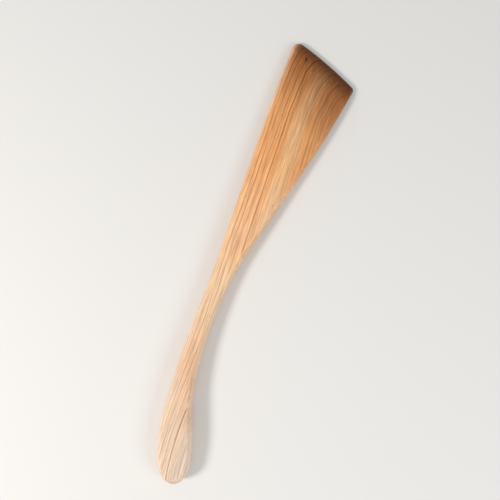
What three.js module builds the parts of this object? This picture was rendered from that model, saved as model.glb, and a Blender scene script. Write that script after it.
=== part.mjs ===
// A roux spoon carved from one board: a rounded, S-bent handle that thins into a one-sided blade, whose
// slanted end is rolled down to a thin, straight scraping edge.
// Millimetres. +Y runs along the grain from the butt to the blade, +X to the blade's broad side and +Z up.

import * as THREE from 'three';

// Lengths along the grain, each from one place on the spoon to the next
const BUTT_TO_GRIP = 26;
const GRIP_TO_HANDLE = 40;
const HANDLE_TO_NECK = 42;
const NECK_TO_THROAT = 47;
const THROAT_TO_SHOULDER = 45;
const SHOULDER_TO_BLADE = 80;
const BLADE_TO_END = 42.4;

// How far the middle of the spoon lies to the broad side of the butt's middle
const GRIP_OFFSET = -7.7;
const HANDLE_OFFSET = -15.7;
const NECK_OFFSET = -16.8;
const THROAT_OFFSET = -14;
const SHOULDER_OFFSET = -8.2;
const BLADE_OFFSET = 2.6;
const END_OFFSET = 8;

// Widths, measured across the spoon at each place
const BUTT_WIDTH = 19.5;
const GRIP_WIDTH = 25.2;
const HANDLE_WIDTH = 17.2;
const NECK_WIDTH = 13.3;
const THROAT_WIDTH = 15.2;
const SHOULDER_WIDTH = 26.6;
const BLADE_WIDTH = 48.8;
const END_WIDTH = 56.7;

// Thicknesses, measured up from the flat back
const BUTT_THICKNESS = 15;
const GRIP_THICKNESS = 16;
const HANDLE_THICKNESS = 15.5;
const NECK_THICKNESS = 14;
const THROAT_THICKNESS = 13;
const SHOULDER_THICKNESS = 11.5;
const BLADE_THICKNESS = 8.8;
const END_THICKNESS = 7.8;

// Rounding: the butt in plan and over its edge, the long edges and the two corners of the slanted end
const BUTT_ROUND = 12.5;
const BUTT_EDGE_ROUND = 5.5;
const HANDLE_ROUND = 3.6;
const SHOULDER_ROUND = 2.8;
const STRAIGHT_SIDE_ROUND = 4;
const BROAD_SIDE_ROUND = 2.2;
const BACK_ROUND = 2;
const HANDLE_CROWN = 0.5;
const BLADE_CROWN = 0.7;
const TIP_RADIUS = 5.2;
const CORNER_RADIUS = 3;

// The slanted scraping end
const END_SLANT = THREE.MathUtils.degToRad(22.5);
const END_BOW = 1;
const ROLL_LENGTH = 17;
const EDGE_THICKNESS = 2.8;
const EDGE_EASE = 0.8;

// Fineness of the skin: along the spoon, close to the scraping edge and round a section
const RING_SPACING = 5;
const EDGE_RING_SPACING = 0.08;
const FACET_TURN = THREE.MathUtils.degToRad(9);

/** One place on the spoon. Its rounds are those of the straight side, the broad side and the back. */
function station(length, offset, width, thickness, rounds, crown) {
  return { length, values: [offset, width, thickness, ...rounds, crown] };
}

const handleRounds = [HANDLE_ROUND, HANDLE_ROUND, HANDLE_ROUND];
const shoulderRounds = [SHOULDER_ROUND, SHOULDER_ROUND, SHOULDER_ROUND];
const bladeRounds = [STRAIGHT_SIDE_ROUND, BROAD_SIDE_ROUND, BACK_ROUND];
const stations = [
  station(0, 0, BUTT_WIDTH, BUTT_THICKNESS, handleRounds, HANDLE_CROWN),
  station(BUTT_TO_GRIP, GRIP_OFFSET, GRIP_WIDTH, GRIP_THICKNESS, handleRounds, HANDLE_CROWN),
  station(GRIP_TO_HANDLE, HANDLE_OFFSET, HANDLE_WIDTH, HANDLE_THICKNESS, handleRounds, HANDLE_CROWN),
  station(HANDLE_TO_NECK, NECK_OFFSET, NECK_WIDTH, NECK_THICKNESS, handleRounds, HANDLE_CROWN),
  station(NECK_TO_THROAT, THROAT_OFFSET, THROAT_WIDTH, THROAT_THICKNESS, handleRounds, HANDLE_CROWN),
  station(THROAT_TO_SHOULDER, SHOULDER_OFFSET, SHOULDER_WIDTH, SHOULDER_THICKNESS, shoulderRounds,
    BLADE_CROWN),
  station(SHOULDER_TO_BLADE, BLADE_OFFSET, BLADE_WIDTH, BLADE_THICKNESS, bladeRounds, BLADE_CROWN),
  station(BLADE_TO_END, END_OFFSET, END_WIDTH, END_THICKNESS, bladeRounds, BLADE_CROWN),
];

const places = [];
let reach = 0;
for (const { length } of stations) {
  reach += length;
  places.push(reach);
}
const neckPlace = BUTT_TO_GRIP + GRIP_TO_HANDLE + HANDLE_TO_NECK;
const endPlace = reach;
const valuesAtPlaces = stations.flatMap(({ values }) => values);
const profile = new THREE.CubicInterpolant(places, valuesAtPlaces, stations[0].values.length);
const sectionSteps = Math.ceil(Math.PI / FACET_TURN);

/** The named sizes of the spoon at a place along the grain. */
function sizesAt(place) {
  const [offset, width, thickness, straightRound, broadRound, backRound, crown] = profile.evaluate(place);
  return { offset, width, thickness, straightRound, broadRound, backRound, crown };
}

/** The middle of the spoon, in plan. */
function middleAt(place) {
  return new THREE.Vector2(sizesAt(place).offset, place);
}

const endMiddle = middleAt(endPlace);
const alongEnd = new THREE.Vector2(Math.cos(END_SLANT), -Math.sin(END_SLANT));
const outOfEnd = new THREE.Vector2(Math.sin(END_SLANT), Math.cos(END_SLANT));

/** Distance of a place from the slanted end, square to that end. */
function distanceFromEnd(place) {
  return endMiddle.clone().sub(middleAt(place)).dot(outOfEnd);
}

/** Direction across the spoon in plan: square to the handle, swinging round to lie along the slanted end. */
function acrossAt(place) {
  const step = 0.5;
  const before = middleAt(Math.max(place - step, 0));
  const after = middleAt(Math.min(place + step, endPlace));
  const heading = after.sub(before);
  const squareTurn = -Math.atan2(heading.x, heading.y);
  const swing = THREE.MathUtils.smoothstep(place, neckPlace, endPlace - ROLL_LENGTH);
  const turn = THREE.MathUtils.lerp(squareTurn, -END_SLANT, swing);
  return new THREE.Vector2(Math.cos(turn), Math.sin(turn));
}

/** A point on a long edge, its corner not yet rounded: side is -1 on the straight side, 1 on the broad. */
function edgeAt(place, side) {
  return middleAt(place).addScaledVector(acrossAt(place), side * sizesAt(place).width / 2);
}

/** Inner angle of a blade corner, between its long edge and the slanted end. */
function cornerAngle(side, radius) {
  const longEdge = edgeAt(endPlace - 2 * radius, side).sub(edgeAt(endPlace, side));
  return longEdge.angleTo(alongEnd.clone().multiplyScalar(-side));
}

const tipAngle = cornerAngle(-1, TIP_RADIUS);
const broadAngle = cornerAngle(1, CORNER_RADIUS);

/** How much a rounded corner takes off the end of a cross-line at this distance from the slanted end. */
function cornerTrim(fromEnd, radius, angle) {
  if (fromEnd >= radius * (1 + Math.cos(angle))) {
    return 0;
  }
  const toArc = radius / Math.tan(angle / 2) - Math.sqrt(radius ** 2 - (radius - fromEnd) ** 2);
  const toEdge = fromEnd / Math.tan(angle);
  return toArc - toEdge;
}

/** Height share, 0 to 1, of a quarter ellipse that starts at an edge and is full where its rounding ends. */
function quarterRound(fromEdge, rounding) {
  if (fromEdge >= rounding) {
    return 1;
  }
  return Math.sqrt(1 - (1 - fromEdge / rounding) ** 2);
}

/** One closed cross-section: its points run over the top from the straight side and back underneath. */
function ringAt(place) {
  const size = sizesAt(place);
  const fromEnd = distanceFromEnd(place);
  const taper = quarterRound(place, BUTT_ROUND);
  const dome = quarterRound(place, BUTT_EDGE_ROUND);
  const roll = (1 - Math.min(fromEnd / ROLL_LENGTH, 1)) ** 2;
  const ease = EDGE_EASE * (1 - quarterRound(fromEnd, EDGE_EASE));

  const top = size.thickness - (END_THICKNESS - EDGE_THICKNESS) * roll - ease;
  const equator = (top + ease) / 2;
  const topRise = (top - equator) * dome;
  const backDrop = (equator - ease) * dome;

  const middle = middleAt(place);
  const across = acrossAt(place);
  const low = -size.width / 2 * taper + cornerTrim(fromEnd, TIP_RADIUS, tipAngle);
  const high = size.width / 2 * taper - cornerTrim(fromEnd, CORNER_RADIUS, broadAngle);
  const half = (high - low) / 2;

  const pointAt = (share, height) => {
    const plan = middle.clone().addScaledVector(across, low + (1 + share) * half);
    plan.addScaledVector(outOfEnd, END_BOW * roll * (1 - share ** 2));
    return new THREE.Vector3(plan.x, plan.y, height);
  };
  const fullness = (share, rounding) => {
    return quarterRound((1 - Math.abs(share)) * half, Math.min(rounding, half));
  };

  const points = [];
  for (let step = 0; step <= sectionSteps; step++) {
    const share = -Math.cos(Math.PI * step / sectionSteps);
    const rounding = share < 0 ? size.straightRound : size.broadRound;
    const crown = size.crown * dome * (1 - roll) * share ** 2;
    points.push(pointAt(share, equator + (topRise - crown) * fullness(share, rounding)));
  }
  for (let step = 1; step < sectionSteps; step++) {
    const share = Math.cos(Math.PI * step / sectionSteps);
    points.push(pointAt(share, equator - backDrop * fullness(share, size.backRound)));
  }
  return points;
}

/** Places of the cross-sections: close together round the butt and down the rolled end, even in between. */
function ringPlaces() {
  const list = [];
  const domeRings = Math.ceil(Math.PI / 2 / FACET_TURN);
  for (let ring = 1; ring <= domeRings; ring++) {
    list.push(BUTT_ROUND * (1 - Math.cos(Math.PI / 2 * ring / domeRings)));
  }
  const rollStart = endPlace - ROLL_LENGTH;
  const evenRings = Math.ceil((rollStart - BUTT_ROUND) / RING_SPACING);
  for (let ring = 1; ring <= evenRings; ring++) {
    list.push(THREE.MathUtils.lerp(BUTT_ROUND, rollStart, ring / evenRings));
  }
  const rollRings = Math.ceil(Math.sqrt(ROLL_LENGTH / EDGE_RING_SPACING));
  for (let ring = 1; ring <= rollRings; ring++) {
    list.push(endPlace - ROLL_LENGTH * (1 - ring / rollRings) ** 2);
  }
  return list;
}

/** The spoon's closed skin: a pole at the butt, the lofted sections and a narrow land on the slanted end. */
function spoonGeometry() {
  const rings = ringPlaces().map(ringAt);
  const count = rings[0].length;
  const pole = new THREE.Vector3(0, 0, BUTT_THICKNESS / 2);
  const faces = [];
  const cornerIndex = (ring, step) => 1 + ring * count + (step + count) % count;

  for (let step = 0; step < count; step++) {
    faces.push(0, cornerIndex(0, step + 1), cornerIndex(0, step));
  }
  const last = rings.length - 1;
  for (let ring = 0; ring < last; ring++) {
    for (let step = 0; step < count; step++) {
      const here = cornerIndex(ring, step);
      const next = cornerIndex(ring, step + 1);
      const hereBeyond = cornerIndex(ring + 1, step);
      const nextBeyond = cornerIndex(ring + 1, step + 1);
      faces.push(here, next, hereBeyond);
      faces.push(next, nextBeyond, hereBeyond);
    }
  }
  for (let step = 0; step < sectionSteps; step++) {
    const top = cornerIndex(last, step);
    const nextTop = cornerIndex(last, step + 1);
    const back = cornerIndex(last, -step);
    const nextBack = cornerIndex(last, -step - 1);
    if (step > 0) {
      faces.push(top, nextTop, back);
    }
    if (step < sectionSteps - 1) {
      faces.push(nextTop, nextBack, back);
    }
  }

  const geometry = new THREE.BufferGeometry().setFromPoints([pole, ...rings.flat()]);
  geometry.setIndex(faces);
  return geometry;
}

/** Moves a geometry so that the middle of its box's underside is the origin. */
function standOnOrigin(geometry) {
  geometry.computeBoundingBox();
  const box = geometry.boundingBox;
  const centre = box.getCenter(new THREE.Vector3());
  geometry.translate(-centre.x, -centre.y, -box.min.z);
  geometry.computeVertexNormals();
  return geometry;
}

const oiledWood = new THREE.MeshStandardMaterial({ color: 0xd29a69, roughness: 0.5, metalness: 0 });

const carvedSpoon = new THREE.Mesh(standOnOrigin(spoonGeometry()), oiledWood);
carvedSpoon.name = 'carved_spoon';

const rouxSpoon = new THREE.Group();
rouxSpoon.add(carvedSpoon);

export default rouxSpoon;
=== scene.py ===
"""Roux spoon carved from one cherry board: the dressed spoon, its oiled finish with painted shade and
highlights, the studio and the camera.

Lengths are in metres in the part's own frame: +Y runs along the grain from the butt to the blade, +X to the
blade's broad side and +Z up from the flat back.
"""

import logging
import math
from dataclasses import astuple, dataclass, field
from enum import Enum

import bmesh
import bpy
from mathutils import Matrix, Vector, noise


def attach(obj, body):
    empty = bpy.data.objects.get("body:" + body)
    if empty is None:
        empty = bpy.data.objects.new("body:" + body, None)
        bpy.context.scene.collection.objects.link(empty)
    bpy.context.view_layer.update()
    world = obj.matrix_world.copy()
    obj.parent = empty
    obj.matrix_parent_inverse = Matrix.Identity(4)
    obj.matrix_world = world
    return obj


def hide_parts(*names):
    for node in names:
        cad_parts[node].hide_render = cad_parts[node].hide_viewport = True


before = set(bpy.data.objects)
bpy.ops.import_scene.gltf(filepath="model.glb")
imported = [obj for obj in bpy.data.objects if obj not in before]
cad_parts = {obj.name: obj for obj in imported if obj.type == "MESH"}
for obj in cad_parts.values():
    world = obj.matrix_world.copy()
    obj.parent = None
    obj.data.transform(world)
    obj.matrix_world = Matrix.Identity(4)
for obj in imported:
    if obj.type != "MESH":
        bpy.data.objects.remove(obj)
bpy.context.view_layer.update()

MM = 0.001
NODE = "carved_spoon"
BODY = "root"
# Vertex layer that holds edge wear together with the painted rim highlight.
RIM_WEAR_AND_HIGHLIGHT_LAYER = "edge_wear"

log = logging.getLogger("roux_spoon")


class Side(Enum):
    """The two long sides of the blade, by their direction across the spoon."""

    STRAIGHT = -1
    BROAD = 1


def quarter_round(from_edge: float, rounding: float) -> float:
    """Height share of a quarter ellipse that starts at an edge.

    Args:
        from_edge: Distance from the edge.
        rounding: Distance at which the ellipse is full.

    Returns:
        A share from 0 at the edge to 1 where the rounding ends.
    """
    if from_edge >= rounding:
        return 1.0
    return math.sqrt(max(1 - (1 - from_edge / rounding) ** 2, 0.0))


def smooth_step(value: float, low: float, high: float) -> float:
    """Eased share, 0 to 1, of a value's way from low to high."""
    share = min(max((value - low) / (high - low), 0.0), 1.0)
    return share * share * (3 - 2 * share)


@dataclass(frozen=True)
class Station:
    """The spoon's sizes at one place along the grain."""

    place: float
    offset: float
    width: float
    thickness: float
    straight_round: float
    broad_round: float
    back_round: float
    crown: float


class Profile:
    """Smooth sizes along the spoon, through its stations."""

    def __init__(self, stations: list[Station]) -> None:
        """Works out the slopes at the stations: each is the mean of the slopes on its two sides."""
        self.rows = [astuple(station) for station in stations]
        pairs = list(zip(self.rows, self.rows[1:]))
        spans = [[(b - a) / (high[0] - low[0]) for a, b in zip(low, high)] for low, high in pairs]
        inner = [[(a + b) / 2 for a, b in zip(before, after)] for before, after in zip(spans, spans[1:])]
        self.slopes = [spans[0], *inner, spans[-1]]

    def at(self, place: float) -> Station:
        """The sizes at a place along the grain."""
        last = len(self.rows) - 2
        index = next((i for i in range(last) if place < self.rows[i + 1][0]), last)
        start, stop = self.rows[index], self.rows[index + 1]
        length = stop[0] - start[0]
        t = (place - start[0]) / length
        values = []
        for a, b, slope_a, slope_b in zip(start, stop, self.slopes[index], self.slopes[index + 1]):
            rise = (1 + 2 * t) * (1 - t) ** 2 * a + t * t * (3 - 2 * t) * b
            bend = length * (t * (1 - t) ** 2 * slope_a - t * t * (1 - t) * slope_b)
            values.append(rise + bend)
        return Station(*values)


@dataclass
class CarvedSpoon:
    """The whole spoon: a rounded, S-bent handle that thins into a one-sided blade with a slanted end."""

    butt_to_grip: float = 26 * MM
    grip_to_handle: float = 40 * MM
    handle_to_neck: float = 42 * MM
    neck_to_throat: float = 47 * MM
    throat_to_shoulder: float = 45 * MM
    shoulder_to_blade: float = 80 * MM
    blade_to_end: float = 42.4 * MM

    grip_offset: float = -7.7 * MM
    handle_offset: float = -15.7 * MM
    neck_offset: float = -16.8 * MM
    throat_offset: float = -14 * MM
    shoulder_offset: float = -8.2 * MM
    blade_offset: float = 2.6 * MM
    end_offset: float = 8 * MM

    butt_width: float = 19.5 * MM
    grip_width: float = 25.2 * MM
    handle_width: float = 17.2 * MM
    neck_width: float = 13.3 * MM
    throat_width: float = 15.2 * MM
    shoulder_width: float = 26.6 * MM
    blade_width: float = 48.8 * MM
    end_width: float = 56.7 * MM

    butt_thickness: float = 15 * MM
    grip_thickness: float = 16 * MM
    handle_thickness: float = 15.5 * MM
    neck_thickness: float = 14 * MM
    throat_thickness: float = 13 * MM
    shoulder_thickness: float = 11.5 * MM
    blade_thickness: float = 8.8 * MM
    end_thickness: float = 7.8 * MM

    butt_round: float = 12.5 * MM
    butt_edge_round: float = 5.5 * MM
    handle_round: float = 3.6 * MM
    shoulder_round: float = 2.8 * MM
    straight_side_round: float = 4 * MM
    broad_side_round: float = 2.2 * MM
    back_round: float = 2 * MM
    handle_crown: float = 0.5 * MM
    blade_crown: float = 0.7 * MM
    tip_radius: float = 5.2 * MM
    corner_radius: float = 3 * MM

    end_slant: float = math.radians(22.5)
    end_bow: float = 1 * MM
    roll_length: float = 17 * MM
    edge_thickness: float = 2.8 * MM
    edge_ease: float = 0.8 * MM

    wave_height: float = 0.12 * MM
    wave_length: float = 32 * MM
    # Edge wear with painted highlight on the rounded rims.
    wear_and_highlight_power: int = 6
    wear_reach: float = 1.5 * MM
    end_wear: float = 0.12
    broad_wear_and_highlight: float = 0.15
    tip_fade: float = 5 * MM

    heading_step: float = 0.5 * MM
    ring_spacing: float = 4.5 * MM
    dome_rings: int = 9
    roll_rings: int = 14
    section_steps: int = 20
    smoothing_levels: int = 2

    profile: Profile = field(init=False)
    shift: Vector = field(init=False)
    neck_place: float = field(init=False)
    end_place: float = field(init=False)

    def __post_init__(self) -> None:
        """Lays the stations out along the grain."""
        handle_places = [
            (0.0, 0.0, self.butt_width, self.butt_thickness),
            (self.butt_to_grip, self.grip_offset, self.grip_width, self.grip_thickness),
            (self.grip_to_handle, self.handle_offset, self.handle_width, self.handle_thickness),
            (self.handle_to_neck, self.neck_offset, self.neck_width, self.neck_thickness),
            (self.neck_to_throat, self.throat_offset, self.throat_width, self.throat_thickness),
        ]
        shoulder_places = [
            (self.throat_to_shoulder, self.shoulder_offset, self.shoulder_width, self.shoulder_thickness),
        ]
        blade_places = [
            (self.shoulder_to_blade, self.blade_offset, self.blade_width, self.blade_thickness),
            (self.blade_to_end, self.end_offset, self.end_width, self.end_thickness),
        ]
        handle_rounds = (self.handle_round, self.handle_round, self.handle_round, self.handle_crown)
        shoulder_rounds = (self.shoulder_round, self.shoulder_round, self.shoulder_round, self.blade_crown)
        blade_rounds = (self.straight_side_round, self.broad_side_round, self.back_round, self.blade_crown)
        stretches = [
            (handle_places, handle_rounds),
            (shoulder_places, shoulder_rounds),
            (blade_places, blade_rounds),
        ]
        place = 0.0
        stations = []
        for sizes_at_places, rounds in stretches:
            for length, offset, width, thickness in sizes_at_places:
                place += length
                stations.append(Station(place, offset, width, thickness, *rounds))
        self.neck_place = self.butt_to_grip + self.grip_to_handle + self.handle_to_neck
        self.end_place = place
        self.profile = Profile(stations)
        self.shift = Vector((0.0, 0.0, 0.0))

    @property
    def end_spot(self) -> Vector:
        """The middle of the slanted end, in the part's frame once the spoon is built."""
        return self.middle(self.end_place).to_3d() + self.shift

    def middle(self, place: float) -> Vector:
        """The middle of the spoon, in plan."""
        return Vector((self.profile.at(place).offset, place))

    @property
    def along_end(self) -> Vector:
        """Direction along the slanted end, to the broad side."""
        return Vector((math.cos(self.end_slant), -math.sin(self.end_slant)))

    @property
    def out_of_end(self) -> Vector:
        """Direction out of the slanted end, square to it."""
        return Vector((math.sin(self.end_slant), math.cos(self.end_slant)))

    def distance_from_end(self, place: float) -> float:
        """Distance of a place from the slanted end, square to that end."""
        reach = self.middle(self.end_place) - self.middle(place)
        return max(reach.dot(self.out_of_end), 0.0)

    def across(self, place: float) -> Vector:
        """Direction across the spoon: square to the handle, swinging round to lie along the slanted end."""
        before = self.middle(max(place - self.heading_step, 0.0))
        after = self.middle(min(place + self.heading_step, self.end_place))
        heading = after - before
        square_turn = -math.atan2(heading.x, heading.y)
        swing = smooth_step(place, self.neck_place, self.end_place - self.roll_length)
        turn = square_turn + (-self.end_slant - square_turn) * swing
        return Vector((math.cos(turn), math.sin(turn)))

    def long_edge(self, place: float, side: Side) -> Vector:
        """A point on a long edge in plan, its corner not yet rounded."""
        return self.middle(place) + self.across(place) * side.value * self.profile.at(place).width / 2

    def corner_trim(self, from_end: float, radius: float, side: Side) -> float:
        """How much a rounded corner takes off the end of a cross-line.

        Args:
            from_end: Distance of the cross-line from the slanted end.
            radius: Radius of the corner.
            side: The long side that the corner ends.

        Returns:
            The length to take off at that side.
        """
        edge = self.long_edge(self.end_place - 2 * radius, side) - self.long_edge(self.end_place, side)
        angle = edge.angle(self.along_end * -side.value)
        if from_end >= radius * (1 + math.cos(angle)):
            return 0.0
        to_arc = radius / math.tan(angle / 2) - math.sqrt(radius ** 2 - (radius - from_end) ** 2)
        return to_arc - from_end / math.tan(angle)

    def hand_wave(self, across: float, along: float, salt: float) -> float:
        """Faint unevenness that hand sanding leaves, at a point in plan; salt tells the surfaces apart."""
        return self.wave_height * noise.noise(Vector((across, along, salt)) / self.wave_length)

    def ring(self, place: float) -> list[tuple[Vector, float]]:
        """One closed cross-section, over the top from the straight side and back underneath.

        Args:
            place: Place along the grain, from the butt.

        Returns:
            The section's points, each with its share of edge wear and painted rim highlight, from 0 to 1.
        """
        size = self.profile.at(place)
        from_end = self.distance_from_end(place)
        taper = quarter_round(place, self.butt_round)
        dome = quarter_round(place, self.butt_edge_round)
        roll = (1 - min(from_end / self.roll_length, 1.0)) ** 2
        ease = self.edge_ease * (1 - quarter_round(from_end, self.edge_ease))

        top = size.thickness - (self.end_thickness - self.edge_thickness) * roll - ease
        equator = (top + ease) / 2
        top_rise = (top - equator) * dome
        back_drop = (equator - ease) * dome

        middle, across = self.middle(place), self.across(place)
        low = -size.width / 2 * taper + self.corner_trim(from_end, self.tip_radius, Side.STRAIGHT)
        high = size.width / 2 * taper - self.corner_trim(from_end, self.corner_radius, Side.BROAD)
        low += self.hand_wave(0.0, place, -self.wave_length) * dome
        high += self.hand_wave(0.0, place, self.wave_length) * dome
        half = (high - low) / 2
        end_wear = self.end_wear * (1 - min(from_end / self.wear_reach, 1.0))
        # Painted highlight and wear on the rims: full on the straight side, faint on the blade's broad
        # side, fading out at the tip.
        throat_place = self.neck_place + self.neck_to_throat
        broad_share = smooth_step(place, throat_place, self.end_place - self.blade_to_end)
        broad_wear_and_highlight = 1 + (self.broad_wear_and_highlight - 1) * broad_share
        straight_wear_and_highlight = smooth_step(from_end, 0.0, self.tip_fade)

        def point(share: float, rounding: float, rise: float, waviness: float) -> tuple[Vector, float]:
            """A point of the section at a share, -1 to 1, of its width."""
            rounded = min(rounding, half)
            fullness = quarter_round((1 - abs(share)) * half, rounded)
            plan = middle + across * (low + (1 + share) * half)
            plan += self.out_of_end * self.end_bow * roll * (1 - share * share)
            wave = self.hand_wave(plan.x, plan.y, 0.0) * waviness * fullness * dome * (1 - roll)
            side_wear_and_highlight = broad_wear_and_highlight if share > 0 else straight_wear_and_highlight
            wear_and_highlight = max(side_wear_and_highlight * (1 - rounded / half) * (1 - fullness ** self.wear_and_highlight_power), end_wear)
            return Vector((plan.x, plan.y, equator + rise * fullness + wave)), wear_and_highlight

        points = []
        for step in range(self.section_steps + 1):
            share = -math.cos(math.pi * step / self.section_steps)
            rounding = size.straight_round if share < 0 else size.broad_round
            crown = size.crown * dome * (1 - roll) * share * share
            points.append(point(share, rounding, top_rise - crown, 1.0))
        for step in range(1, self.section_steps):
            share = math.cos(math.pi * step / self.section_steps)
            points.append(point(share, size.back_round, -back_drop, 0.0))
        return points

    def ring_places(self) -> list[float]:
        """Places of the sections: close together at the butt and down the rolled end, even in between."""
        turns = [math.pi / 2 * ring / self.dome_rings for ring in range(1, self.dome_rings + 1)]
        places = [self.butt_round * (1 - math.cos(turn)) for turn in turns]
        roll_start = self.end_place - self.roll_length
        even_rings = math.ceil((roll_start - self.butt_round) / self.ring_spacing)
        spacing = (roll_start - self.butt_round) / even_rings
        places += [self.butt_round + spacing * ring for ring in range(1, even_rings + 1)]
        for ring in range(1, self.roll_rings + 1):
            places.append(self.end_place - self.roll_length * (1 - ring / self.roll_rings) ** 2)
        return places

    def build(self) -> bpy.types.Object:
        """Draws the cage out of a ring at the butt, section by section, and closes the slanted end.

        Returns:
            The spoon, standing on the origin.
        """
        bm = bmesh.new()
        wear_and_highlight_layer = bm.verts.layers.float.new(RIM_WEAR_AND_HIGHLIGHT_LAYER)
        butt = bmesh.ops.create_circle(
            bm, cap_ends=True, cap_tris=True, segments=2 * self.section_steps, radius=self.butt_round
        )
        pole = max(butt["verts"], key=lambda vert: len(vert.link_faces))
        pole.co = (0.0, 0.0, self.butt_thickness / 2)
        loop = [vert for vert in butt["verts"] if vert is not pole]

        places = self.ring_places()
        for place in places:
            if place is not places[0]:
                loop = self.draw_out(bm, loop)
            for vert, (spot, wear_and_highlight) in zip(loop, self.ring(place)):
                vert.co = spot
                vert[wear_and_highlight_layer] = wear_and_highlight
        self.close_end(bm, loop)
        self.stand_on_origin(bm)
        bmesh.ops.recalc_face_normals(bm, faces=bm.faces)

        mesh = bpy.data.meshes.new("spoon_body")
        bm.to_mesh(mesh)
        bm.free()
        mesh.shade_smooth()
        spoon = bpy.data.objects.new("spoon_body", mesh)
        bpy.context.scene.collection.objects.link(spoon)
        skin = spoon.modifiers.new("smooth_skin", "SUBSURF")
        skin.levels = self.smoothing_levels
        skin.render_levels = self.smoothing_levels
        return spoon

    @staticmethod
    def loop_edges(bm: bmesh.types.BMesh, loop: list[bmesh.types.BMVert]) -> list[bmesh.types.BMEdge]:
        """The edges of a closed loop of vertices."""
        return [bm.edges.get((loop[step - 1], vert)) for step, vert in enumerate(loop)]

    def draw_out(self, bm: bmesh.types.BMesh, loop: list[bmesh.types.BMVert]) -> list[bmesh.types.BMVert]:
        """Extrudes a loop and gives the new loop, in the same order."""
        drawn = bmesh.ops.extrude_edge_only(bm, edges=self.loop_edges(bm, loop))["geom"]
        fresh = {item for item in drawn if isinstance(item, bmesh.types.BMVert)}
        new_loop = []
        for vert in loop:
            others = [edge.other_vert(vert) for edge in vert.link_edges]
            new_loop.append(next(other for other in others if other in fresh))
        return new_loop

    def close_end(self, bm: bmesh.types.BMesh, loop: list[bmesh.types.BMVert]) -> None:
        """Fills the slanted end with a strip of faces from its top edge to its back edge."""
        bmesh.ops.contextual_create(bm, geom=self.loop_edges(bm, loop))
        for step in range(1, self.section_steps):
            bmesh.ops.connect_verts(bm, verts=[loop[step], loop[-step]])

    def stand_on_origin(self, bm: bmesh.types.BMesh) -> None:
        """Moves the cage so that the middle of its box's underside is the origin."""
        spots = [vert.co for vert in bm.verts]
        low = Vector(map(min, zip(*spots)))
        high = Vector(map(max, zip(*spots)))
        self.shift = Vector(((low.x + high.x) / -2, (low.y + high.y) / -2, -low.z))
        bmesh.ops.translate(bm, verts=bm.verts, vec=self.shift)

    @staticmethod
    def dress(spoon: bpy.types.Object, finish: bpy.types.Material) -> None:
        """Gives the spoon its finish and sets it in the frame in the place of the plain solid."""
        spoon.data.materials.append(finish)
        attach(spoon, BODY)
        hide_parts(NODE)


Socket = bpy.types.NodeSocket
Amount = float | Socket
Colour = tuple[float, float, float]


@dataclass(frozen=True)
class Weave:
    """Soft noise in the wood, by how often it turns in a millimetre across and along the grain."""

    across: float
    along: float
    detail: float
    roughness: float = 0.5


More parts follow.
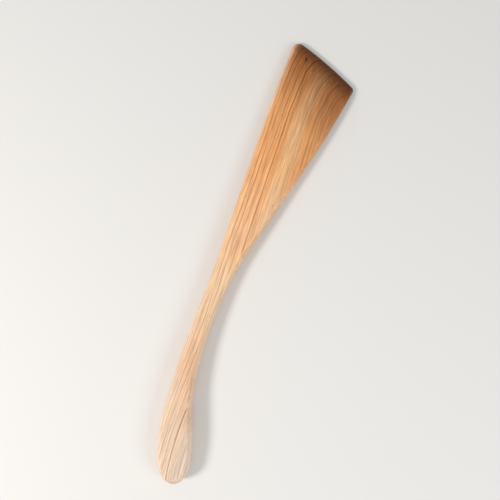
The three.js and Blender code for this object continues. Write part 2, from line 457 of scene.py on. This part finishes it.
class NodeBoard:
    """Lays out and joins the nodes of one material."""

    def __init__(self, name: str) -> None:
        """Starts a material with an empty node tree."""
        self.material = bpy.data.materials.new(name)
        self.material.use_nodes = True
        self.tree = self.material.node_tree
        self.tree.nodes.clear()

    def node(self, kind: str, **settings: object) -> bpy.types.Node:
        """A new node of a kind, with its settings."""
        made = self.tree.nodes.new(kind)
        for name, value in settings.items():
            setattr(made, name, value)
        return made

    def feed(self, socket: Socket, value: object) -> None:
        """Joins a socket to another one, or sets its value."""
        if isinstance(value, bpy.types.NodeSocket):
            self.tree.links.new(value, socket)
        else:
            socket.default_value = value

    def math(self, operation: str, *values: Amount) -> Socket:
        """A sum, product or other operation on numbers."""
        made = self.node("ShaderNodeMath", operation=operation)
        for socket, value in zip(made.inputs, values):
            self.feed(socket, value)
        return made.outputs[0]

    def product(self, first: Socket, *others: Amount) -> Socket:
        """The product of several numbers."""
        for other in others:
            first = self.math("MULTIPLY", first, other)
        return first

    def dot(self, vector: Socket, direction: tuple[float, float, float]) -> Socket:
        """How far a vector reaches in a direction."""
        made = self.node("ShaderNodeVectorMath", operation="DOT_PRODUCT")
        self.feed(made.inputs[0], vector)
        made.inputs[1].default_value = direction
        return made.outputs["Value"]

    def axes(self, vector: Socket) -> tuple[Socket, Socket, Socket]:
        """The parts of a vector across the spoon, along the grain and up."""
        made = self.node("ShaderNodeSeparateXYZ")
        self.feed(made.inputs[0], vector)
        return made.outputs["X"], made.outputs["Y"], made.outputs["Z"]

    def stretched(self, point: Socket, across: float, along: float) -> Socket:
        """A point scaled by one number across the grain and by another along it."""
        made = self.node("ShaderNodeVectorMath", operation="MULTIPLY")
        self.feed(made.inputs[0], point)
        made.inputs[1].default_value = (across, along, across)
        return made.outputs[0]

    def step(self, value: Socket, low: float, high: float, start: float = 0.0, stop: float = 1.0) -> Socket:
        """An eased ramp.

        Args:
            value: The number that drives the ramp.
            low: Where the ramp starts.
            high: Where the ramp stops.
            start: The ramp's value at its start.
            stop: The ramp's value at its stop.

        Returns:
            The ramp's value.
        """
        made = self.node("ShaderNodeMapRange", interpolation_type="SMOOTHSTEP")
        for socket, number in zip(made.inputs, (value, low, high, start, stop)):
            self.feed(socket, number)
        return made.outputs[0]

    def noise(self, point: Socket, weave: Weave) -> Socket:
        """Soft noise, about 0.5 in the mean."""
        made = self.node("ShaderNodeTexNoise", noise_dimensions="3D")
        self.feed(made.inputs["Vector"], self.stretched(point, weave.across, weave.along))
        made.inputs["Scale"].default_value = 1.0
        made.inputs["Detail"].default_value = weave.detail
        made.inputs["Roughness"].default_value = weave.roughness
        return made.outputs["Fac"]

    def mix(self, how: str, colour: Socket, factor: Amount, other: Colour) -> Socket:
        """A colour mixed with another in one of Blender's ways, as far as a factor says."""
        made = self.node("ShaderNodeMix", data_type="RGBA", blend_type=how)
        self.feed(made.inputs[0], factor)
        self.feed(made.inputs[6], colour)
        made.inputs[7].default_value = (*other, 1.0)
        return made.outputs[2]

    def tint(self, colour: Socket, factor: Amount, by: Colour) -> Socket:
        """A colour multiplied by another, as far as a factor says."""
        return self.mix("MULTIPLY", colour, factor, by)

    def blend(self, colour: Socket, factor: Amount, into: Colour) -> Socket:
        """A colour that gives way to another, as far as a factor says."""
        return self.mix("MIX", colour, factor, into)

    def scaled(self, colour: Socket, factor: Socket) -> Socket:
        """A colour made lighter or darker by a number."""
        made = self.node("ShaderNodeVectorMath", operation="SCALE")
        self.feed(made.inputs[0], colour)
        self.feed(made.inputs["Scale"], factor)
        return made.outputs[0]


@dataclass(frozen=True)
class Tone:
    """The colour at a distance from the slanted end, in millimetres: the wood's tone with painted shade and
    sheen mixed in.
    """

    from_end: float
    colour: Colour


@dataclass(frozen=True)
class MarkedRing:
    """A growth ring that stands out, by where it crosses the blade's top. Lengths are in millimetres."""

    across: float
    half_width: float
    depth: float
    core: float = 0.05


@dataclass(frozen=True)
class WoodSpot:
    """A stained or paler spot in the wood, or a patch of painted light or shade, drawn out along the grain.
    Lengths are in millimetres.
    """

    across: float
    along: float
    radius: float
    depth: float
    tint: Colour
    core_share: float = 0.2
    squeeze: float = 0.45

    def shown(self, board: NodeBoard, point: Socket) -> Socket:
        """How strongly the spot shows, 0 to its depth."""
        across, along, _ = board.axes(point)
        across = board.math("SUBTRACT", across, self.across)
        along = board.math("MULTIPLY", board.math("SUBTRACT", along, self.along), self.squeeze)
        square = board.math("MULTIPLY", along, along)
        reach = board.math("SQRT", board.math("MULTIPLY_ADD", across, across, square))
        return board.step(reach, self.core_share * self.radius, self.radius, self.depth, 0.0)


@dataclass(frozen=True)
class GrowthRings:
    """Growth rings about a pith line that rises with the top of the spoon. Lengths are in millimetres."""

    pith_across: float = 48.0
    pith_height: float = 108.0
    blade_place: float = 115.0
    blade_height: float = 8.8
    rise: float = 0.0335
    handle_lean: float = 0.0236
    handle_lean_from: float = -40.0
    wander: Weave = Weave(0.03, 0.009, 2.0)
    wander_depth: float = 0.7

    sweep_depth: float = 0.85
    sweep_from: float = 42.0
    sweep_full: float = 12.0
    sweep_straight: float = 0.5
    sweep_edge: float = -9.0
    sweep_middle: float = -2.0
    end_ease: float = 1.0
    end_ease_full: float = 2.0

    middle: float = 115.0
    pitch: float = 1.0
    growth: float = 0.029
    uneven_scale: float = 0.35
    unevenness: float = 1.6
    order: float = 5.5
    late_wood_from: float = 0.64
    late_wood_full: float = 0.94
    late_wood_stops: float = 0.95
    faintest: float = 0.35
    boldest: float = 0.9

    def radius_at(self, across: float) -> float:
        """Radius of the ring that crosses the top of the blade at a place across it."""
        return math.hypot(across - self.pith_across, self.blade_height - self.pith_height)

    def radius(self, board: NodeBoard, point: Socket, from_end: Socket) -> Socket:
        """Radius of the ring at a point.

        Args:
            board: The board that takes the nodes.
            point: The place in the wood.
            from_end: Distance from the slanted end.

        Returns:
            Distance from the pith line, with a slow wander and the sweep near the slanted end.
        """
        across, along, height = board.axes(point)
        from_pith = board.math("SUBTRACT", across, self.pith_across)
        below_blade = board.math("MINIMUM", board.math("SUBTRACT", along, self.blade_place), 0.0)
        lift = board.math("MULTIPLY", below_blade, self.rise)
        under_pith = board.math("ADD", board.math("SUBTRACT", height, self.pith_height), lift)
        square = board.math("MULTIPLY", under_pith, under_pith)
        distance = board.math("SQRT", board.math("MULTIPLY_ADD", from_pith, from_pith, square))
        past_neck = board.math("MINIMUM", board.math("SUBTRACT", along, self.handle_lean_from), 0.0)
        radius = board.math("MULTIPLY_ADD", past_neck, self.handle_lean, distance)
        wander = board.math("SUBTRACT", board.noise(point, self.wander), 0.5)
        radius = board.math("MULTIPLY_ADD", wander, self.wander_depth, radius)
        return self.swept(board, across, from_end, radius)

    def swept(self, board: NodeBoard, across: Socket, from_end: Socket, radius: Socket) -> Socket:
        """Sweeps the rings to the broad side near the slanted end, and eases the sweep at the edge itself.

        Args:
            board: The board that takes the nodes.
            across: Place across the spoon.
            from_end: Distance from the slanted end.
            radius: The radius so far.

        Returns:
            The radius with the sweep.
        """
        sweep = board.step(from_end, self.sweep_full, self.sweep_from, self.sweep_depth, 0.0)
        share = board.step(across, self.sweep_edge, self.sweep_middle, self.sweep_straight, 1.0)
        eased = board.step(from_end, self.end_ease_full, self.sweep_full, self.end_ease, 0.0)
        return board.math("SUBTRACT", board.math("MULTIPLY_ADD", sweep, share, radius), eased)

    def late_wood(self, board: NodeBoard, radius: Socket) -> Socket:
        """Late wood of the rings: it darkens outwards in each ring and stops short.

        Args:
            board: The board that takes the nodes.
            radius: Radius of the ring there.

        Returns:
            The share of late wood, 0 to 1. Rings are wider far from the pith.
        """
        apart = board.math("SUBTRACT", radius, self.middle)
        pitch = board.math("MULTIPLY_ADD", apart, self.growth, self.pitch)
        count = board.math("DIVIDE", board.math("LOGARITHM", pitch, math.e), self.growth)
        uneven = board.node("ShaderNodeTexNoise", noise_dimensions="1D")
        board.feed(uneven.inputs["W"], radius)
        uneven.inputs["Scale"].default_value = self.uneven_scale
        count = board.math("MULTIPLY_ADD", uneven.outputs["Fac"], self.unevenness, count)
        share = board.math("FRACT", count)
        darkens = board.step(share, self.late_wood_from, self.late_wood_full)
        stops = board.step(share, self.late_wood_stops, 1.0, 1.0, 0.0)
        chance = board.node("ShaderNodeTexWhiteNoise", noise_dimensions="1D")
        board.feed(chance.inputs["W"], board.math("ADD", board.math("FLOOR", count), self.order))
        strength = board.step(chance.outputs["Value"], 0.0, 1.0, self.faintest, self.boldest)
        return board.product(darkens, stops, strength)


@dataclass(frozen=True)
class OiledWoodWithPaintedLight:
    """Oiled cherry: ring lines, fibres, flecks and stains over tones that pale towards the butt; the tones,
    rims and some spots also carry painted shade, sheen and highlights.

    Its lengths are in millimetres.
    """

    end_across: float
    end_along: float
    end_slant: float

    handle_starts: float = 30.0
    handle_full: float = -80.0

    # Tones darken towards the slanted end, partly oil-darkened wood and partly painted shade of the rolled
    # end; the pale handle tones are partly painted sheen.
    edge_tone: Tone = Tone(0.0, (0.12, 0.034, 0.004))
    roll_tone: Tone = Tone(10.0, (0.335, 0.122, 0.031))
    slant_tone: Tone = Tone(24.0, (0.49, 0.203, 0.067))
    blade_tone: Tone = Tone(48.0, (0.770, 0.357, 0.134))
    shoulder_tone: Tone = Tone(92.0, (0.885, 0.441, 0.191))
    neck_tone: Tone = Tone(168.0, (0.885, 0.595, 0.362))
    handle_tone: Tone = Tone(228.0, (0.800, 0.517, 0.323))
    grip_tone: Tone = Tone(258.0, (0.795, 0.577, 0.409))
    butt_tone: Tone = Tone(330.0, (0.735, 0.567, 0.443))
    tone_turn: float = math.radians(3.0)
    # Painted light on the straight side and painted shade on the broad side, across the spoon.
    shade_from: float = -20.0
    shade_to: float = 14.0
    straight_shade: float = 1.05
    broad_shade: float = 0.92

    rings: GrowthRings = GrowthRings()
    ring_tint: Colour = (0.62, 0.44, 0.34)
    end_depth: float = 1.05
    end_depth_to: float = 20.0
    plain_depth: float = 0.6
    plain_depth_from: float = 90.0
    lines_in_handle: float = 1.4
    lines_lost_on_rims: float = 0.8
    lines_on_rim: float = 0.25
    rim_from: float = 0.05
    rim_full: float = 0.25

    blade_ring: MarkedRing = MarkedRing(-10.3, 0.26, 0.60)
    middle_ring: MarkedRing = MarkedRing(-14.9, 0.30, 0.35)
    side_ring: MarkedRing = MarkedRing(-18.4, 0.42, 0.36)
    edge_ring: MarkedRing = MarkedRing(-21.2, 0.30, 0.45)
    band_ring: MarkedRing = MarkedRing(-7.2, 0.30, 0.30)
    pale_ring: MarkedRing = MarkedRing(1.3, 0.30, 0.33)
    broad_ring: MarkedRing = MarkedRing(8.2, 0.30, 0.28)
    marked_tint: Colour = (0.50, 0.35, 0.26)
    marked_in_handle: float = 0.75

    band_tint: Colour = (1.04, 1.26, 1.55)
    band_from: float = -5.8
    band_to: float = 3.6
    band_edge: float = 0.7
    band_lines: float = 0.45
    band_in_handle: float = 0.2
    band_full: float = 110.0
    band_at_end: float = 0.5
    band_fades: float = 50.0

    gum_spot: WoodSpot = WoodSpot(-10.7, 154.9, 1.3, 0.95, (0.38, 0.23, 0.10))
    tip_spot: WoodSpot = WoodSpot(-15.3, 158.7, 2.4, 0.6, (0.98, 0.95, 0.62))
    # Painted shade on the top of the tip, where the rolled end turns from the light.
    tip_shade: WoodSpot = WoodSpot(-13.5, 151.0, 9.0, 0.7, (0.88, 0.86, 0.78))
    corner_spot: WoodSpot = WoodSpot(24.0, 138.4, 2.8, 0.9, (1.0, 0.90, 0.28))
    broad_patch: WoodSpot = WoodSpot(5.0, 139.5, 11.0, 0.8, (1.11, 1.21, 1.45))
    throat_spot: WoodSpot = WoodSpot(-15.5, 9.0, 8.5, 1.0, (0.95, 0.90, 0.86))
    # Painted light on the straight side of the handle and painted shade over its middle towards the broad
    # side.
    handle_painted_light: WoodSpot = WoodSpot(-25.8, -98.0, 7.0, 0.8, (1.01, 1.09, 1.19))
    handle_painted_shade: WoodSpot = WoodSpot(-14.5, -92.0, 6.5, 0.8, (0.97, 0.89, 0.85))
    # Darker patch on the grip: handling stain and painted shade on its broad side.
    grip_stain_and_painted_shade: WoodSpot = WoodSpot(-8.0, -115.0, 7.0, 0.6, (0.84, 0.77, 0.75))

    noise_low: float = 0.25
    noise_high: float = 0.75
    streaks: Weave = Weave(0.45, 0.011, 3.0, 0.55)
    streak_dark: float = 0.90
    streak_light: float = 1.08
    fibres: Weave = Weave(1.25, 0.036, 4.0, 0.7)
    fibre_dark: float = -0.28
    fibre_light: float = 0.23
    fibres_in_handle: float = 0.75
    fleck_tint: Colour = (0.62, 0.46, 0.36)
    flecks_across: float = 0.5
    flecks_along: float = 0.09
    fleck_core: float = 0.05
    fleck_reach: float = 0.16
    fleck_patches: Weave = Weave(0.06, 0.03, 1.0)
    patch_from: float = 0.5
    patch_full: float = 0.62

    # Paler rims: rubbed wood and painted highlight where the rounded edges catch the light.
    blade_rim_wear_and_highlight: Colour = (0.88, 0.555, 0.33)
    handle_rim_wear_and_highlight: Colour = (0.90, 0.69, 0.53)
    rim_wear_and_highlight_depth: float = 0.95
    end_grain_tint: Colour = (0.88, 0.81, 0.75)
    end_grain_from: float = 0.3

    sheen: float = 0.24
    sheen_low: float = 0.3
    sheen_high: float = 0.7
    smoothest: float = 0.46
    roughest: float = 0.58
    late_wood_roughness: float = -0.05
    end_grain_roughness: float = 0.12
    late_wood_relief: float = 0.015
    fibre_relief: float = 0.04
    fleck_relief: float = -0.03

    def material(self) -> bpy.types.Material:
        """The finish as a material that works on the spoon's own coordinates."""
        board = NodeBoard("oiled_cherry")
        place = board.node("ShaderNodeTexCoord").outputs["Object"]
        point = board.stretched(place, 1 / MM, 1 / MM)
        from_end = self.from_end(board, point, self.end_slant)
        radius = self.rings.radius(board, point, from_end)
        late_wood = self.rings.late_wood(board, radius)
        streaks = board.noise(point, self.streaks)
        fibres = board.noise(point, self.fibres)
        flecks = self.flecks(board, point)
        end_grain = self.end_grain(board)
        wear_and_highlight = board.node("ShaderNodeAttribute", attribute_name=RIM_WEAR_AND_HIGHLIGHT_LAYER).outputs["Fac"]

        colour = self.tones_with_painted_light(board, point)
        band = self.pale_band(board, point, radius, from_end)
        colour = board.tint(colour, band, self.band_tint)
        # Paler rims: edge wear and painted highlight.
        colour = self.worn_edges_and_painted_highlight(board, point, wear_and_highlight, colour)
        kept = self.lines_kept(board, wear_and_highlight)
        colour = self.marked_rings(board, point, radius, kept, colour)
        depth = self.line_depth(board, point, from_end, band)
        colour = board.tint(colour, board.product(late_wood, depth, kept), self.ring_tint)
        streak_shade = self.noise_shade(board, streaks, self.streak_dark, self.streak_light)
        colour = board.scaled(colour, streak_shade)
        colour = board.scaled(colour, self.fibre_shade(board, point, fibres))
        colour = board.tint(colour, flecks, self.fleck_tint)
        on_blade = (self.gum_spot, self.tip_spot, self.tip_shade, self.corner_spot, self.broad_patch)
        on_handle = (self.throat_spot, self.handle_painted_light, self.handle_painted_shade, self.grip_stain_and_painted_shade)
        for spot in (*on_blade, *on_handle):
            colour = board.tint(colour, spot.shown(board, point), spot.tint)
        colour = board.tint(colour, end_grain, self.end_grain_tint)

        shader = board.node("ShaderNodeBsdfPrincipled")
        board.feed(shader.inputs["Base Color"], colour)
        board.feed(shader.inputs["Roughness"], self.roughness(board, late_wood, fibres, end_grain))
        board.feed(shader.inputs["Normal"], self.relief(board, late_wood, fibres, flecks))
        shader.inputs["Specular IOR Level"].default_value = self.sheen
        output = board.node("ShaderNodeOutputMaterial")
        board.feed(output.inputs["Surface"], shader.outputs["BSDF"])
        return board.material

    def from_end(self, board: NodeBoard, point: Socket, slant: float) -> Socket:
        """Distance from a line through the middle of the slanted end, square to that line."""
        across, along = math.sin(slant), math.cos(slant)
        reach = self.end_across * across + self.end_along * along
        return board.math("SUBTRACT", reach, board.dot(point, (across, along, 0.0)))

    def handle_to_blade(self, board: NodeBoard, point: Socket, in_handle: float, on_blade: float) -> Socket:
        """A number that goes over from its value in the handle to its value on the blade."""
        return board.step(board.axes(point)[1], self.handle_full, self.handle_starts, in_handle, on_blade)

    def tones_with_painted_light(self, board: NodeBoard, point: Socket) -> Socket:
        """Colour without the figure: darker at the working end, partly oil and partly painted shade; pale
        at the butt, partly painted sheen; painted light on the straight side and painted shade on the broad
        side.
        """
        reach = self.from_end(board, point, self.end_slant + self.tone_turn)
        tones = board.node("ShaderNodeValToRGB")
        board.feed(tones.inputs[0], board.math("DIVIDE", reach, self.butt_tone.from_end))
        ramp = tones.color_ramp
        ramp.interpolation = "CARDINAL"
        ramp.elements[0].color = (*self.edge_tone.colour, 1.0)
        ramp.elements[1].color = (*self.butt_tone.colour, 1.0)
        on_blade = (self.roll_tone, self.slant_tone, self.blade_tone, self.shoulder_tone)
        for tone in (*on_blade, self.neck_tone, self.handle_tone, self.grip_tone):
            ramp.elements.new(tone.from_end / self.butt_tone.from_end).color = (*tone.colour, 1.0)
        # Painted light on the straight side, painted shade on the broad side.
        across = board.axes(point)[0]
        shade = board.step(across, self.shade_from, self.shade_to, self.straight_shade, self.broad_shade)
        return board.scaled(tones.outputs[0], shade)

    def pale_band(self, board: NodeBoard, point: Socket, radius: Socket, from_end: Socket) -> Socket:
        """The pale band between two growth rings, faint in the handle and at the slanted end.

        Args:
            board: The board that takes the nodes.
            point: The place in the wood.
            radius: Radius of the growth ring there.
            from_end: Distance from the slanted end.

        Returns:
            How much of the band shows, 0 to 1.
        """
        start, stop = self.rings.radius_at(self.band_from), self.rings.radius_at(self.band_to)
        outer = board.step(radius, start - self.band_edge, start + self.band_edge, 1.0, 0.0)
        inner = board.step(radius, stop - self.band_edge, stop + self.band_edge)
        along = board.axes(point)[1]
        from_handle = board.step(along, self.handle_full, self.band_full, self.band_in_handle, 1.0)
        near_end = board.step(from_end, 0.0, self.band_fades, self.band_at_end, 1.0)
        return board.product(outer, inner, board.product(from_handle, near_end))

    def worn_edges_and_painted_highlight(self, board: NodeBoard, point: Socket, wear_and_highlight: Socket, colour: Socket) -> Socket:
        """Paler long edges: rubbed wood, and painted highlight where the rounded rims catch the light.

        Args:
            board: The board that takes the nodes.
            point: The place in the wood.
            wear_and_highlight: How worn the surface is there, with its painted rim highlight, 0 to 1.
            colour: The colour so far.

        Returns:
            The colour with the worn edges and their painted highlight.
        """
        on_blade = board.product(wear_and_highlight, self.handle_to_blade(board, point, 0.0, self.rim_wear_and_highlight_depth))
        on_handle = board.product(wear_and_highlight, self.handle_to_blade(board, point, self.rim_wear_and_highlight_depth, 0.0))
        colour = board.blend(colour, on_blade, self.blade_rim_wear_and_highlight)
        return board.blend(colour, on_handle, self.handle_rim_wear_and_highlight)

    def lines_kept(self, board: NodeBoard, wear_and_highlight: Socket) -> Socket:
        """How much of the ring lines shows: they go where the rims carry wear and painted highlight, and
        where the surface falls to the broad side.
        """
        normal = board.node("ShaderNodeNewGeometry").outputs["Normal"]
        lean = board.dot(normal, (math.cos(self.end_slant), -math.sin(self.end_slant), 0.0))
        on_top = board.step(lean, self.rim_from, self.rim_full, 1.0, self.lines_on_rim)
        kept = board.math("SUBTRACT", on_top, board.math("MULTIPLY", wear_and_highlight, self.lines_lost_on_rims))
        return board.math("MAXIMUM", kept, 0.0)

    def line_depth(self, board: NodeBoard, point: Socket, from_end: Socket, band: Socket) -> Socket:
        """Depth of the ring lines: more at the slanted end and in the handle, less in the pale band."""
        plain_from = self.plain_depth_from
        depth = board.step(from_end, self.end_depth_to, plain_from, self.end_depth, self.plain_depth)
        in_band = board.step(band, 0.0, 1.0, 1.0, self.band_lines)
        return board.product(depth, in_band, self.handle_to_blade(board, point, self.lines_in_handle, 1.0))

    def marked_rings(
        self, board: NodeBoard, point: Socket, radius: Socket, kept: Socket, colour: Socket
    ) -> Socket:
        """Adds the dark rings that stand out, softer in the handle.

        Args:
            board: The board that takes the nodes.
            point: The place in the wood.
            radius: Radius of the growth ring there.
            kept: How much of a line shows there, 0 to 1.
            colour: The colour so far.

        Returns:
            The colour with the marked rings.
        """
        kept = board.product(kept, self.handle_to_blade(board, point, self.marked_in_handle, 1.0))
        straight_half = (self.blade_ring, self.middle_ring, self.side_ring, self.edge_ring)
        broad_half = (self.band_ring, self.pale_ring, self.broad_ring)
        for ring in (*straight_half, *broad_half):
            apart = board.math("SUBTRACT", radius, self.rings.radius_at(ring.across))
            line = board.step(board.math("ABSOLUTE", apart), ring.core, ring.half_width, ring.depth, 0.0)
            colour = board.tint(colour, board.product(line, kept), self.marked_tint)
        return colour

    def noise_shade(self, board: NodeBoard, noise_value: Socket, dark: float, light: float) -> Socket:
        """The usual range of a noise, turned into a number from a dark one to a light one."""
        return board.step(noise_value, self.noise_low, self.noise_high, dark, light)

    def fibre_shade(self, board: NodeBoard, point: Socket, fibres: Socket) -> Socket:
        """Lightness that the fibres give, about 1, more even in the handle."""
        lively = self.handle_to_blade(board, point, self.fibres_in_handle, 1.0)
        shade = self.noise_shade(board, fibres, self.fibre_dark, self.fibre_light)
        return board.math("MULTIPLY_ADD", shade, lively, 1.0)

    def flecks(self, board: NodeBoard, point: Socket) -> Socket:
        """Short dark gum flecks along the grain, in sparse patches."""
        cells = board.node("ShaderNodeTexVoronoi", voronoi_dimensions="3D", feature="F1")
        board.feed(cells.inputs["Vector"], board.stretched(point, self.flecks_across, self.flecks_along))
        cells.inputs["Scale"].default_value = 1.0
        flecks = board.step(cells.outputs["Distance"], self.fleck_core, self.fleck_reach, 1.0, 0.0)
        patches = board.step(board.noise(point, self.fleck_patches), self.patch_from, self.patch_full)
        return board.product(flecks, patches)

    def end_grain(self, board: NodeBoard) -> Socket:
        """How far a surface cuts across the fibres, 0 to 1."""
        normal = board.node("ShaderNodeNewGeometry").outputs["Normal"]
        return board.step(board.math("ABSOLUTE", board.axes(normal)[1]), self.end_grain_from, 1.0)

    def roughness(self, board: NodeBoard, late_wood: Socket, fibres: Socket, end_grain: Socket) -> Socket:
        """Satin sheen: late wood is smoother, end grain duller."""
        base = board.step(fibres, self.sheen_low, self.sheen_high, self.smoothest, self.roughest)
        smoother = board.math("MULTIPLY_ADD", late_wood, self.late_wood_roughness, base)
        return board.math("MULTIPLY_ADD", end_grain, self.end_grain_roughness, smoother)

    def relief(self, board: NodeBoard, late_wood: Socket, fibres: Socket, flecks: Socket) -> Socket:
        """Fine relief: raised late wood and fibres, and sunk flecks."""
        height = board.math("MULTIPLY", late_wood, self.late_wood_relief)
        height = board.math("MULTIPLY_ADD", fibres, self.fibre_relief, height)
        height = board.math("MULTIPLY_ADD", flecks, self.fleck_relief, height)
        bump = board.node("ShaderNodeBump")
        board.feed(bump.inputs["Height"], height)
        bump.inputs["Distance"].default_value = MM
        bump.inputs["Strength"].default_value = 1.0
        return bump.outputs["Normal"]


@dataclass(frozen=True)
class SoftLamp:
    """A round soft lamp that points at the spoon's origin."""

    name: str
    direction: Vector
    distance: float
    diameter: float
    power: float
    colour: Colour

    def build(self) -> bpy.types.Object:
        """Hangs the lamp."""
        light = bpy.data.lights.new(self.name, "AREA")
        light.shape = "DISK"
        light.size = self.diameter
        light.energy = self.power
        light.color = self.colour
        lamp = bpy.data.objects.new(self.name, light)
        toward = self.direction.normalized()
        lamp.location = toward * self.distance
        lamp.rotation_euler = toward.to_track_quat("Z", "Y").to_euler()
        bpy.context.scene.collection.objects.link(lamp)
        return lamp


@dataclass
class Studio:
    """A plain pale floor, a soft key lamp at the butt's straight side, a weak fill and even room light."""

    floor_half: float = 4.0
    floor_gap: float = 0.05 * MM
    floor_colour: Colour = (0.80, 0.78, 0.75)
    floor_roughness: float = 0.85
    room_colour: Colour = (0.96, 0.98, 1.0)
    room_strength: float = 0.59

    def build(self) -> bpy.types.Object:
        """Lays the floor, hangs the lamps and lights the room.

        Returns:
            The floor.
        """
        bm = bmesh.new()
        bmesh.ops.create_grid(bm, x_segments=1, y_segments=1, size=self.floor_half)
        bmesh.ops.translate(bm, verts=bm.verts, vec=(0.0, 0.0, -self.floor_gap))
        mesh = bpy.data.meshes.new("floor")
        bm.to_mesh(mesh)
        bm.free()
        floor = bpy.data.objects.new("floor", mesh)
        bpy.context.scene.collection.objects.link(floor)
        mesh.materials.append(self.floor_finish())

        SoftLamp(
            name="key",
            direction=Vector((-0.60, -0.46, 0.66)),
            distance=1.0,
            diameter=0.25,
            power=5.2,
            colour=(1.0, 0.97, 0.93),
        ).build()
        SoftLamp(
            name="fill",
            direction=Vector((0.7, -0.2, 0.65)),
            distance=0.9,
            diameter=0.5,
            power=1.7,
            colour=(0.97, 0.98, 1.0),
        ).build()

        world = bpy.data.worlds.new("room")
        world.use_nodes = True
        background = world.node_tree.nodes["Background"]
        background.inputs["Color"].default_value = (*self.room_colour, 1.0)
        background.inputs["Strength"].default_value = self.room_strength
        bpy.context.scene.world = world
        return floor

    def floor_finish(self) -> bpy.types.Material:
        """Plain pale matt paint."""
        board = NodeBoard("pale_floor")
        shader = board.node("ShaderNodeBsdfPrincipled")
        shader.inputs["Base Color"].default_value = (*self.floor_colour, 1.0)
        shader.inputs["Roughness"].default_value = self.floor_roughness
        output = board.node("ShaderNodeOutputMaterial")
        board.feed(output.inputs["Surface"], shader.outputs["BSDF"])
        return board.material


@dataclass(frozen=True)
class OverheadCamera:
    """Looks straight down at the spoon, which leans to the right in the picture."""

    lens: float = 50.0
    sensor: float = 36.0
    picture_width: float = 365.6 * MM
    lean: float = math.radians(18.5)
    origin_right: float = 1.6 * MM
    origin_up: float = -12.8 * MM

    def build(self) -> bpy.types.Object:
        """Hangs the camera so that the spoon's origin falls at its place in the picture."""
        data = bpy.data.cameras.new("overhead")
        data.lens = self.lens
        data.sensor_width = self.sensor
        camera = bpy.data.objects.new("overhead", data)
        right = Vector((math.cos(self.lean), math.sin(self.lean), 0.0))
        up = Vector((-math.sin(self.lean), math.cos(self.lean), 0.0))
        height = Vector((0.0, 0.0, self.picture_width * self.lens / self.sensor))
        camera.location = height - right * self.origin_right - up * self.origin_up
        camera.rotation_euler = (0.0, 0.0, self.lean)
        bpy.context.scene.collection.objects.link(camera)
        bpy.context.scene.camera = camera
        return camera


def main() -> None:
    """Builds the spoon, its finish, the studio and the camera, and reports each piece."""
    logging.basicConfig(level=logging.INFO, format="%(message)s")
    design = CarvedSpoon()
    spoon = design.build()
    end = design.end_spot
    finish = OiledWoodWithPaintedLight(end_across=end.x / MM, end_along=end.y / MM, end_slant=design.end_slant)
    design.dress(spoon, finish.material())
    log.info("%s: %d faces in the cage", spoon.name, len(spoon.data.polygons))
    floor = Studio().build()
    log.info("%s: laid", floor.name)
    camera = OverheadCamera().build()
    log.info("%s: hung at %.3f m", camera.name, camera.location.z)
    bpy.context.scene.view_settings.view_transform = "Standard"


if __name__ == "__main__":
    main()
